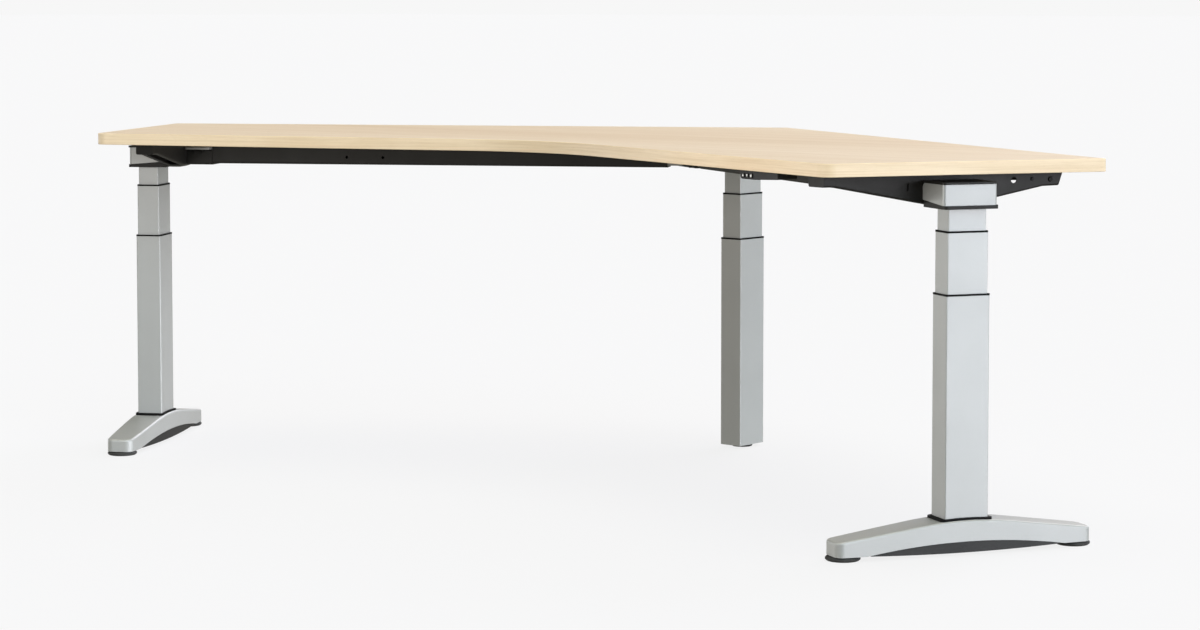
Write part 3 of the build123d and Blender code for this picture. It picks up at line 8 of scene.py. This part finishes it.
import bpy
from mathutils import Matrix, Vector


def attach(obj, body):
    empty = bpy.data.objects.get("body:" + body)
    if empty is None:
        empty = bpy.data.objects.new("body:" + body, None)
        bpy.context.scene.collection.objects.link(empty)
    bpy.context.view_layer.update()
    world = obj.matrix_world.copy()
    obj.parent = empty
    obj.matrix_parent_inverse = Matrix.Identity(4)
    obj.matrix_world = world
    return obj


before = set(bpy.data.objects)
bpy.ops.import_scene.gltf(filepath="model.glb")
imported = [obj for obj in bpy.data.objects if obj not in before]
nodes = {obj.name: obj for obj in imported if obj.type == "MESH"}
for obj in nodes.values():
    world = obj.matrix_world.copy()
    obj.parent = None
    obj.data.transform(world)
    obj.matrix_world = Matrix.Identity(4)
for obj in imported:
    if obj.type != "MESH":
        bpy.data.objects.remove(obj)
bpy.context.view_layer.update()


# ------------------------------------------------------------------ node helpers
class Finish:
    """A material with one Principled shader, built node by node."""

    def __init__(self, name):
        self.mat = bpy.data.materials.new(name)
        self.mat.use_nodes = True
        self.tree = self.mat.node_tree
        self.tree.nodes.clear()
        self.out = self.tree.nodes.new("ShaderNodeOutputMaterial")
        self.bsdf = self.tree.nodes.new("ShaderNodeBsdfPrincipled")
        self.tree.links.new(self.bsdf.outputs["BSDF"], self.out.inputs["Surface"])
        coords = self.tree.nodes.new("ShaderNodeTexCoord")
        self.point = coords.outputs["Object"]

    def set(self, **values):
        for key, value in values.items():
            self.bsdf.inputs[key.replace("_", " ")].default_value = value
        return self

    def link(self, source, target):
        self.tree.links.new(source, target)

    def stretch(self, scale, offset=(0, 0, 0), source=None):
        """The point with each axis scaled, for grain that runs one way."""
        n = self.tree.nodes.new("ShaderNodeMapping")
        n.inputs["Scale"].default_value = scale
        n.inputs["Location"].default_value = offset
        self.link(source or self.point, n.inputs["Vector"])
        return n.outputs["Vector"]

    def noise(self, vector, scale=1.0, detail=2.0, roughness=0.5, distortion=0.0):
        n = self.tree.nodes.new("ShaderNodeTexNoise")
        n.inputs["Scale"].default_value = scale
        n.inputs["Detail"].default_value = detail
        n.inputs["Roughness"].default_value = roughness
        n.inputs["Distortion"].default_value = distortion
        self.link(vector, n.inputs["Vector"])
        return n.outputs["Fac"]

    def cells(self, vector, scale=1.0, feature="F1"):
        n = self.tree.nodes.new("ShaderNodeTexVoronoi")
        n.feature = feature
        n.inputs["Scale"].default_value = scale
        self.link(vector, n.inputs["Vector"])
        return n.outputs["Distance"]

    def ramp(self, fac, *stops):
        """Grey or colour ramp: stops are (position, value or colour)."""
        n = self.tree.nodes.new("ShaderNodeValToRGB")
        n.color_ramp.interpolation = "EASE"
        while len(n.color_ramp.elements) < len(stops):
            n.color_ramp.elements.new(0.5)
        for e, (position, value) in zip(n.color_ramp.elements, stops):
            e.position = position
            c = value if isinstance(value, (tuple, list)) else (value,) * 3
            e.color = (*c, 1.0)
        self.link(fac, n.inputs["Fac"])
        return n.outputs["Color"]

    def range(self, fac, low, high, to_low, to_high):
        n = self.tree.nodes.new("ShaderNodeMapRange")
        n.inputs["From Min"].default_value = low
        n.inputs["From Max"].default_value = high
        n.inputs["To Min"].default_value = to_low
        n.inputs["To Max"].default_value = to_high
        self.link(fac, n.inputs["Value"])
        return n.outputs["Result"]

    def math(self, kind, a, b):
        n = self.tree.nodes.new("ShaderNodeMath")
        n.operation = kind
        for socket, value in zip(n.inputs, (a, b)):
            if isinstance(value, (int, float)):
                socket.default_value = value
            else:
                self.link(value, socket)
        return n.outputs["Value"]

    def mix(self, kind, fac, a, b):
        n = self.tree.nodes.new("ShaderNodeMix")
        n.data_type = "RGBA"
        n.blend_type = kind
        for socket, value in ((n.inputs[0], fac), (n.inputs[6], a), (n.inputs[7], b)):
            if isinstance(value, (int, float)):
                socket.default_value = value
            elif isinstance(value, (tuple, list)):
                socket.default_value = (*value, 1.0)
            else:
                self.link(value, socket)
        return n.outputs[2]

    def split(self, vector):
        n = self.tree.nodes.new("ShaderNodeSeparateXYZ")
        self.link(vector, n.inputs[0])
        return n.outputs

    def join(self, x, y, z):
        n = self.tree.nodes.new("ShaderNodeCombineXYZ")
        for socket, value in zip(n.inputs, (x, y, z)):
            if isinstance(value, (int, float)):
                socket.default_value = value
            else:
                self.link(value, socket)
        return n.outputs[0]

    def colour(self, source):
        self.link(source, self.bsdf.inputs["Base Color"])
        return self

    def rough(self, source):
        self.link(source, self.bsdf.inputs["Roughness"])
        return self

    def bump(self, height, strength, distance):
        n = self.tree.nodes.new("ShaderNodeBump")
        n.inputs["Strength"].default_value = strength
        n.inputs["Distance"].default_value = distance
        self.link(height, n.inputs["Height"])
        self.link(n.outputs["Normal"], self.bsdf.inputs["Normal"])
        return self


# ------------------------------------------------------------------ finishes
def maple_top():
    """Light maple decor, grain along X: wide soft bands, long streaks, arched growth rings and short flecks."""
    f = Finish("maple_top")
    x, y, z = f.split(f.point)
    # slow wander of the grain, so that the streaks aren't ruled lines
    wander = f.noise(f.stretch((0.9, 2.2, 1.0)), 1.0, 2.0, 0.5)
    wander2 = f.noise(f.stretch((3.5, 9.0, 1.0), (7, 3, 0)), 1.0, 2.0, 0.5)
    bend = f.math("ADD", f.range(wander, 0.0, 1.0, -0.055, 0.055), f.range(wander2, 0.0, 1.0, -0.006, 0.006))
    grain_y = f.math("ADD", y, bend)
    flow = f.join(x, grain_y, z)
    bands = f.noise(f.stretch((0.30, 5.0, 1.0), (1.3, 0.4, 0), flow), 1.0, 3.0, 0.55)
    streak = f.noise(f.stretch((0.9, 55.0, 1.0), (4.1, 2.2, 0), flow), 1.0, 4.0, 0.6)
    fibre = f.noise(f.stretch((9.0, 620.0, 1.0), (0.7, 5.5, 0), flow), 1.0, 3.0, 0.65)
    # growth rings, cut lengthwise: arches far apart in the middle of a leaf, close lines at its sides
    leaf = f.math("PINGPONG", f.math("ADD", grain_y, 10.11), 0.155)
    arch = f.math("ADD", f.math("MULTIPLY", leaf, leaf), f.math("MULTIPLY", x, 0.0035))
    ring = f.math("SINE", f.math("ADD", f.math("MULTIPLY", arch, 5200.0), f.math("MULTIPLY", wander2, 9.0)), 0.0)
    ring_show = f.range(f.noise(f.stretch((0.8, 3.0, 1.0), (3, 9, 1), flow), 1.0, 2.0), 0.4, 0.75, 0.0, 1.0)
    fleck = f.noise(f.stretch((95.0, 900.0, 1.0), (2, 8, 0), flow), 1.0, 1.0, 0.5)
    # the top's tones are paler and bluer than the edge band's: the maple's own colour with a painted sheen of the
    # bright backdrop laid into it
    base = f.ramp(bands, (0.28, (0.666, 0.535, 0.413)), (0.50, (0.716, 0.598, 0.481)), (0.74, (0.757, 0.651, 0.544)))
    c = f.mix("MULTIPLY", 1.0, base, f.ramp(streak, (0.30, (0.93, 0.91, 0.88)), (0.62, (1.0, 1.0, 1.0))))
    c = f.mix("MULTIPLY", f.math("MULTIPLY", ring_show, 0.55), c,
              f.ramp(f.range(ring, -1.0, 1.0, 0.0, 1.0), (0.05, (0.90, 0.865, 0.82)), (0.55, (1.0, 1.0, 1.0))))
    c = f.mix("MULTIPLY", 0.7, c, f.ramp(fibre, (0.30, (0.90, 0.88, 0.85)), (0.60, (1.0, 1.0, 1.0))))
    c = f.mix("MULTIPLY", 0.5, c, f.ramp(fleck, (0.24, (0.76, 0.68, 0.60)), (0.33, (1.0, 1.0, 1.0))))
    f.colour(c)
    f.rough(f.range(f.math("ADD", f.math("MULTIPLY", fibre, 0.6), f.math("MULTIPLY", streak, 0.4)), 0.2, 0.8, 0.50, 0.40))
    f.bump(f.math("ADD", f.math("MULTIPLY", fibre, 0.7), f.math("MULTIPLY", fleck, 0.3)), 0.12, 0.0004)
    f.set(Specular_IOR_Level=0.40)
    return f.mat


def maple_edge():
    """Edge band of the same wood: streaks run along the edge, whichever way it turns."""
    f = Finish("maple_edge")
    tone = f.noise(f.stretch((2.1, 2.1, 9.0), (5, 1, 0)), 1.0, 3.0, 0.55)
    streak = f.noise(f.stretch((3.6, 3.6, 240.0), (1, 6, 2)), 1.0, 4.0, 0.6)
    fibre = f.noise(f.stretch((28.0, 28.0, 1500.0), (8, 2, 5)), 1.0, 2.0, 0.6)
    fleck = f.noise(f.stretch((110.0, 110.0, 1300.0), (2, 4, 0)), 1.0, 1.0, 0.5)
    # the band's tones are brighter and warmer than the top's: the maple's own colour with painted light laid in for
    # the upright band, which catches less of the lamps
    base = f.ramp(tone, (0.26, (0.770, 0.598, 0.402)), (0.50, (0.835, 0.671, 0.474)), (0.76, (0.878, 0.728, 0.540)))
    c = f.mix("MULTIPLY", 1.0, base, f.ramp(streak, (0.28, (0.90, 0.87, 0.82)), (0.62, (1.0, 1.0, 1.0))))
    c = f.mix("MULTIPLY", 0.6, c, f.ramp(fibre, (0.28, (0.91, 0.88, 0.85)), (0.60, (1.0, 1.0, 1.0))))
    c = f.mix("MULTIPLY", 0.45, c, f.ramp(fleck, (0.24, (0.76, 0.68, 0.60)), (0.33, (1.0, 1.0, 1.0))))
    f.colour(c)
    f.rough(f.range(fibre, 0.2, 0.8, 0.55, 0.44))
    f.bump(fibre, 0.10, 0.0003)
    f.set(Specular_IOR_Level=0.50)
    return f.mat


def silver_powder(name, tint, roughness, peel):
    """Silver powder coat: fine metal flake in a satin binder, with the faint orange peel of a sprayed coat."""
    f = Finish(name)
    flake = f.noise(f.stretch((1, 1, 1)), 2600.0, 1.0, 0.4)
    cloud = f.noise(f.stretch((1, 1, 1), (3, 1, 2)), 9.0, 3.0, 0.55)
    skin = f.noise(f.stretch((1, 1, 1), (6, 2, 4)), peel, 2.0, 0.45)
    low = tuple(v * 0.90 for v in tint)
    high = tuple(min(1.0, v * 1.07) for v in tint)
    c = f.ramp(flake, (0.25, low), (0.52, tint), (0.78, high))
    c = f.mix("MULTIPLY", 1.0, c, f.ramp(cloud, (0.25, 0.965), (0.75, 1.0)))
    f.colour(c)
    f.rough(f.range(f.math("ADD", f.math("MULTIPLY", flake, 0.7), f.math("MULTIPLY", cloud, 0.3)), 0.2, 0.8,
                    roughness + 0.06, roughness - 0.05))
    f.bump(f.math("ADD", f.math("MULTIPLY", skin, 0.8), f.math("MULTIPLY", flake, 0.2)), 0.10, 0.0003)
    f.set(Metallic=0.30, Specular_IOR_Level=0.45)
    return f.mat


def black_powder(name, tint, roughness, grain, strength, gloss):
    """Black powder coat or moulded skin with a fine pebbled grain."""
    f = Finish(name)
    pebble = f.cells(f.stretch((1, 1, 1)), grain)
    fine = f.noise(f.stretch((1, 1, 1), (2, 5, 1)), grain * 1.7, 2.0, 0.5)
    cloud = f.noise(f.stretch((1, 1, 1), (4, 4, 4)), 7.0, 3.0, 0.6)
    low = tuple(v * 0.78 for v in tint)
    high = tuple(v * 1.22 for v in tint)
    c = f.ramp(fine, (0.25, low), (0.75, high))
    c = f.mix("MULTIPLY", 1.0, c, f.ramp(cloud, (0.25, 0.88), (0.75, 1.0)))
    f.colour(c)
    f.rough(f.range(cloud, 0.25, 0.75, roughness + 0.05, roughness - 0.05))
    f.bump(f.math("ADD", f.math("MULTIPLY", pebble, 0.6), f.math("MULTIPLY", fine, 0.4)), strength, 0.0003)
    f.set(Specular_IOR_Level=gloss)
    return f.mat


def rubber():
    """Black rubber: dull, a little dusty in the hollows."""
    f = Finish("glide_rubber")
    fine = f.noise(f.stretch((1, 1, 1)), 900.0, 3.0, 0.6)
    dust = f.noise(f.stretch((1, 1, 1), (1, 2, 3)), 45.0, 4.0, 0.6)
    c = f.ramp(fine, (0.3, (0.025, 0.025, 0.0255)), (0.7, (0.038, 0.038, 0.0385)))
    c = f.mix("MIX", f.range(dust, 0.55, 0.85, 0.0, 0.22), c, (0.075, 0.074, 0.071))
    f.colour(c)
    f.rough(f.range(dust, 0.3, 0.8, 0.62, 0.82))
    f.bump(fine, 0.18, 0.0003)
    f.set(Specular_IOR_Level=0.35)
    return f.mat


def plated(name, tint, roughness, along):
    """Zinc plated or machined steel with fine drawing marks along one axis."""
    f = Finish(name)
    marks = f.noise(f.stretch(along), 1.0, 3.0, 0.6)
    stain = f.noise(f.stretch((1, 1, 1), (3, 3, 1)), 38.0, 4.0, 0.6)
    low = tuple(v * 0.84 for v in tint)
    c = f.ramp(marks, (0.25, low), (0.70, tint))
    c = f.mix("MULTIPLY", 1.0, c, f.ramp(stain, (0.3, (0.86, 0.88, 0.90)), (0.7, (1.0, 1.0, 0.985))))
    f.colour(c)
    f.rough(f.range(marks, 0.2, 0.8, roughness + 0.08, roughness - 0.06))
    f.bump(marks, 0.10, 0.0002)
    f.set(Metallic=0.92)
    return f.mat


def cast_alloy():
    """Plain die cast alloy of the gear motors: grainy, slightly blotched."""
    f = Finish("motor_cast")
    grain = f.noise(f.stretch((1, 1, 1)), 700.0, 3.0, 0.6)
    blotch = f.noise(f.stretch((1, 1, 1), (1, 5, 2)), 30.0, 3.0, 0.6)
    c = f.ramp(grain, (0.25, (0.27, 0.27, 0.28)), (0.75, (0.39, 0.39, 0.40)))
    c = f.mix("MULTIPLY", 1.0, c, f.ramp(blotch, (0.3, 0.85), (0.7, 1.0)))
    f.colour(c)
    f.rough(f.range(grain, 0.2, 0.8, 0.62, 0.48))
    f.bump(grain, 0.22, 0.0004)
    f.set(Metallic=0.75)
    return f.mat


def key_print():
    """Pale printed signs on the keys: opaque ink, a little uneven."""
    f = Finish("key_print")
    skin = f.noise(f.stretch((1, 1, 1)), 3200.0, 2.0, 0.5)
    tone = f.noise(f.stretch((1, 1, 1), (2, 2, 2)), 160.0, 2.0, 0.5)
    c = f.ramp(tone, (0.3, (0.66, 0.66, 0.65)), (0.7, (0.76, 0.76, 0.75)))
    f.colour(c)
    f.rough(f.range(skin, 0.2, 0.8, 0.42, 0.32))
    f.bump(skin, 0.08, 0.0001)
    f.set(Specular_IOR_Level=0.5)
    return f.mat


FINISHES = {
    "worktop_wood": maple_top(),
    "edge_wood": maple_edge(),
    "silver_paint": silver_powder("silver_powder_coat", (0.409, 0.416, 0.417), 0.44, 420.0),
    "foot_paint": silver_powder("silver_cast_coat", (0.424, 0.431, 0.431), 0.47, 300.0),
    "black_plastic": black_powder("black_moulding", (0.0165, 0.0168, 0.0176), 0.52, 1300.0, 0.16, 0.34),
    "black_rubber": rubber(),
    "black_paint": black_powder("black_powder_coat", (0.0100, 0.0096, 0.0092), 0.52, 900.0, 0.20, 0.27),
    "bare_steel": plated("bright_zinc", (0.62, 0.62, 0.63), 0.34, (420.0, 420.0, 26.0)),
    "black_bolt": black_powder("black_oxide", (0.018, 0.018, 0.019), 0.40, 1500.0, 0.10, 0.42),
    "grey_zinc": silver_powder("grey_zinc_coat", (0.270, 0.270, 0.267), 0.42, 700.0),
    "motor_case": cast_alloy(),
}
# pieces with a finish of their own
MOULDING = silver_powder("silver_moulding", (0.384, 0.391, 0.392), 0.44, 520.0)
SEAL = black_powder("black_seal", (0.0060, 0.0060, 0.0062), 0.62, 1300.0, 0.10, 0.10)
DARK_SCREW = black_powder("black_screw", (0.0080, 0.0078, 0.0076), 0.55, 1500.0, 0.10, 0.18)
CASE = black_powder("black_case", (0.0085, 0.0085, 0.0088), 0.52, 1300.0, 0.14, 0.22)
OWN = {"right_head_cover": MOULDING, "left_head_cover": MOULDING, "foot_gaskets": SEAL, "outer_tube_collars": SEAL,
       "right_middle_collar": SEAL, "left_middle_collar": SEAL, "corner_middle_collar": SEAL,
       "frame_bolts": DARK_SCREW, "handset_case": CASE}
for name, node in nodes.items():
    for slot in node.material_slots:
        kind = slot.material.name.split(".")[0]
        slot.material = OWN.get(name, FINISHES[kind])


# ------------------------------------------------------------------ signs on the keys
def key_signs():
    """Printed signs on the three keys, 0.1 mm proud: up, down and a rounded block for the stored height."""
    ink = key_print()
    out = Vector((-math.sin(math.radians(30.0 - 8.76)), -math.cos(math.radians(30.0 - 8.76)), 0.0))
    up = Vector((0.0, 0.0, 1.0))
    side = up.cross(out)
    arrow = [(-2.5, -2.2), (2.5, -2.2), (2.5, -1.5), (0.35, 2.4), (-0.35, 2.4), (-2.5, -1.5)]
    block = [(-1.6, -2.4), (1.6, -2.4), (2.4, -1.6), (2.4, 1.6), (1.6, 2.4), (-1.6, 2.4), (-2.4, 1.6), (-2.4, -1.6)]
    signs = {"up": arrow, "down": [(x, -z) for x, z in reversed(arrow)], "store": block}
    for name, line in signs.items():
        points = [v.co for v in nodes["button_" + name].data.vertices]
        reach = max(p.dot(out) for p in points)
        face = [p for p in points if p.dot(out) > reach - 0.0002]
        centre = sum(face, Vector()) / len(face)
        lo_z, hi_z = min(p.z for p in face), max(p.z for p in face)
        lo_s, hi_s = min(p.dot(side) for p in face), max(p.dot(side) for p in face)
        centre += side * ((lo_s + hi_s) / 2 - centre.dot(side)) + up * ((lo_z + hi_z) / 2 - centre.z)
        mesh = bpy.data.meshes.new("sign_" + name)
        n = len(line)
        at = [centre + side * (x * 0.001) + up * (z * 0.001) for x, z in line]
        back = [v - out * 0.0001 for v in at]
        front = [v + out * 0.0001 for v in at]
        faces = [list(range(n - 1, -1, -1)), list(range(n, 2 * n))]
        faces += [[i, (i + 1) % n, n + (i + 1) % n, n + i] for i in range(n)]
        mesh.from_pydata([tuple(v) for v in back + front], [], faces)
        mesh.validate()
        mesh.materials.append(ink)
        piece = bpy.data.objects.new("sign_" + name, mesh)
        bpy.context.scene.collection.objects.link(piece)
        bevel = piece.modifiers.new("soft_edge", "BEVEL")
        bevel.width, bevel.segments, bevel.limit_method = 0.00005, 2, "ANGLE"
        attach(piece, name + "_key")


key_signs()


# ------------------------------------------------------------------ studio
# soft round lights far away: azimuth, elevation, full within, gone at (degrees), colour strength
KEY = (7.2, 7.3, 7.8)
SKY_LIGHTS = [
    (-10, 2, 2, 14, KEY), (5, 2, 2, 14, KEY), (20, 2, 2, 14, KEY),        # low key from the right
    (50, 2, 2, 14, (2.50, 2.90, 3.00)),                                   # its tail, round to the back
    (-30, 35, 6, 34, (2.05, 2.48, 2.62)),                                 # high fill from the right front
    (-170, 4, 3, 18, (4.25, 4.30, 4.30)),                                 # low fill from the left
    (94, 36, 6, 34, (3.90, 3.80, 4.00)),                                 # rim light from behind
    (0, 90, 6, 34, (4.15, 3.85, 3.00)),                                   # top light
]
FLOOR_GLOW = (0.390, 0.374, 0.310)       # light that comes back from below
FLOOR_GREY = 0.930
# soft boxes near the desk: place, aim, width, height, watts
BOXES = [
    ("front_box", (0.0, -3.2, 0.95), (0.0, 0.3, 0.55), 1.2, 1.0, 29.0, (1.0, 0.98, 0.95)),
    ("right_leg_box", (0.55, -1.05, 0.62), (1.1, -0.35, 0.58), 0.45, 0.3, 0.95, (1.0, 0.98, 0.94)),
    ("left_leg_box", (-0.35, -0.10, 0.13), (-1.12, -0.35, 0.30), 0.35, 0.25, 1.9, (1.0, 1.0, 1.0)),
]


def studio():
    # pale floor: mostly its own even glow, so that the desk only throws a faint soft shadow
    mesh = bpy.data.meshes.new("floor")
    r = 260.0
    mesh.from_pydata([(-r, -r, -0.0004), (r, -r, -0.0004), (r, r, -0.0004), (-r, r, -0.0004)], [], [(0, 1, 2, 3)])
    floor = bpy.data.objects.new("floor", mesh)
    bpy.context.scene.collection.objects.link(floor)
    f = Finish("pale_floor")
    speck = f.noise(f.stretch((1, 1, 1)), 6.0, 2.0, 0.5)
    f.colour(f.ramp(speck, (0.3, tuple(v * 0.995 for v in FLOOR_TINT)), (0.7, tuple(v * 1.005 for v in FLOOR_TINT))))
    f.set(Roughness=0.95, Specular_IOR_Level=0.0, Emission_Color=(1.0, 1.0, 1.0, 1.0), Emission_Strength=FLOOR_SELF)
    mesh.materials.append(f.mat)
    floor.visible_diffuse = floor.visible_glossy = floor.visible_shadow = False

    world = bpy.data.worlds.new("studio")
    bpy.context.scene.world = world
    world.use_nodes = True
    t = world.node_tree
    t.nodes.clear()
    out = t.nodes.new("ShaderNodeOutputWorld")
    coord = t.nodes.new("ShaderNodeTexCoord")

    def lobe(azimuth, elevation, inner, outer, colour):
        a, e = math.radians(azimuth), math.radians(elevation)
        dot = t.nodes.new("ShaderNodeVectorMath")
        dot.operation = "DOT_PRODUCT"
        dot.inputs[1].default_value = (math.cos(e) * math.cos(a), math.cos(e) * math.sin(a), math.sin(e))
        t.links.new(coord.outputs["Generated"], dot.inputs[0])
        m = t.nodes.new("ShaderNodeMapRange")
        m.interpolation_type = "SMOOTHSTEP"
        m.inputs["From Min"].default_value = math.cos(math.radians(outer))
        m.inputs["From Max"].default_value = math.cos(math.radians(inner))
        t.links.new(dot.outputs["Value"], m.inputs["Value"])
        return scaled(colour, m.outputs["Result"])

    def scaled(colour, amount):
        n = t.nodes.new("ShaderNodeVectorMath")
        n.operation = "SCALE"
        n.inputs[0].default_value = colour
        t.links.new(amount, n.inputs["Scale"])
        return n.outputs["Vector"]

    def plus(a, b):
        n = t.nodes.new("ShaderNodeVectorMath")
        n.operation = "ADD"
        t.links.new(a, n.inputs[0])
        t.links.new(b, n.inputs[1])
        return n.outputs["Vector"]

    axes = t.nodes.new("ShaderNodeSeparateXYZ")
    t.links.new(coord.outputs["Generated"], axes.inputs[0])
    below = t.nodes.new("ShaderNodeMath")
    below.operation = "LESS_THAN"
    below.inputs[1].default_value = 0.0
    t.links.new(axes.outputs["Z"], below.inputs[0])
    light = scaled(FLOOR_GLOW, below.outputs[0])
    for spec in SKY_LIGHTS:
        light = plus(light, lobe(*spec))
    lit = t.nodes.new("ShaderNodeBackground")
    t.links.new(light, lit.inputs["Color"])
    seen = t.nodes.new("ShaderNodeBackground")
    seen.inputs["Color"].default_value = (FLOOR_GREY, FLOOR_GREY, FLOOR_GREY, 1.0)
    path = t.nodes.new("ShaderNodeLightPath")
    mix = t.nodes.new("ShaderNodeMixShader")
    t.links.new(path.outputs["Is Camera Ray"], mix.inputs[0])
    t.links.new(lit.outputs[0], mix.inputs[1])
    t.links.new(seen.outputs[0], mix.inputs[2])
    t.links.new(mix.outputs[0], out.inputs["Surface"])

    # the near boxes light the desk and leave the floor even
    spared = bpy.data.collections.new("spared_by_boxes")
    spared.objects.link(floor)
    spared.collection_objects[0].light_linking.link_state = "EXCLUDE"
    for name, place, aim, width, height, watts, colour in BOXES:
        data = bpy.data.lights.new(name, "AREA")
        data.shape = "RECTANGLE"
        data.size, data.size_y = width, height
        data.energy = watts
        data.color = colour
        box = bpy.data.objects.new(name, data)
        bpy.context.scene.collection.objects.link(box)
        box.location = place
        box.rotation_euler = (Vector(aim) - Vector(place)).to_track_quat("-Z", "Y").to_euler()
        box.visible_camera = False
        box.light_linking.receiver_collection = spared
    bpy.context.scene.view_settings.view_transform = "Standard"


FLOOR_TINT, FLOOR_SELF = (0.080, 0.081, 0.092), 0.834
studio()


# ------------------------------------------------------------------ camera
def camera():
    """Seen from the right front, just under standing eye height, with a long lens; the frame is 1200 x 630."""
    data = bpy.data.cameras.new("camera")
    cam = bpy.data.objects.new("camera", data)
    bpy.context.scene.collection.objects.link(cam)
    data.sensor_fit = "HORIZONTAL"
    data.sensor_width = 36.0
    data.lens = LENS
    data.shift_x = SHIFT_X
    data.shift_y = SHIFT_Y
    data.clip_start, data.clip_end = 0.05, 600.0
    cam.location = (4.1364, -4.9808, 1.0223)
    cam.rotation_euler = (math.radians(90.0 - PITCH), 0.0, math.radians(YAW))
    bpy.context.scene.camera = cam


LENS, SHIFT_X, SHIFT_Y, PITCH, YAW = 88.445, -0.01136, -0.10, 3.6676, 39.8002
camera()
